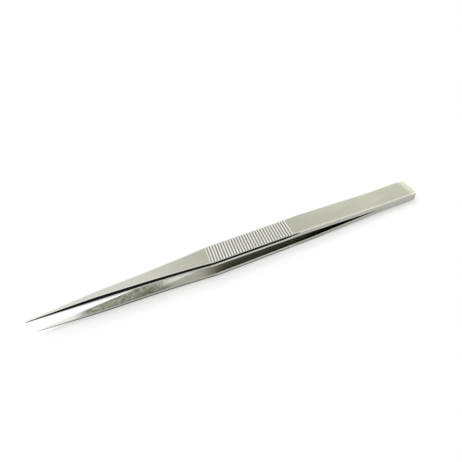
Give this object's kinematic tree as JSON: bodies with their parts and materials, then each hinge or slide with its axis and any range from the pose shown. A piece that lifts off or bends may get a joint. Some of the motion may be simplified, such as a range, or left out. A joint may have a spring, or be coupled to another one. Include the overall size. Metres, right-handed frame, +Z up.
{
  "type": "straight tweezers",
  "caption": "Straight fine-point tweezers: sprung steel arms welded at the butt, with cross-ridged grips and long ground needle tips.",
  "frame": {"origin": "on the surface the tweezers lie on, under the middle of their length and width", "axes": "+X towards the welded butt end and -X towards the tips, +Y across the arms, +Z up from the surface, through the lower arm to the upper arm"},
  "size_m": [0.14, 0.009, 0.0078],
  "materials": {
    "upper_arm": "satin ground",
    "lower_arm": "satin ground"
  },
  "bodies": {
    "root": {"upper_arm": "upper_arm", "lower_arm": "lower_arm"}
  },
  "joints": []
}
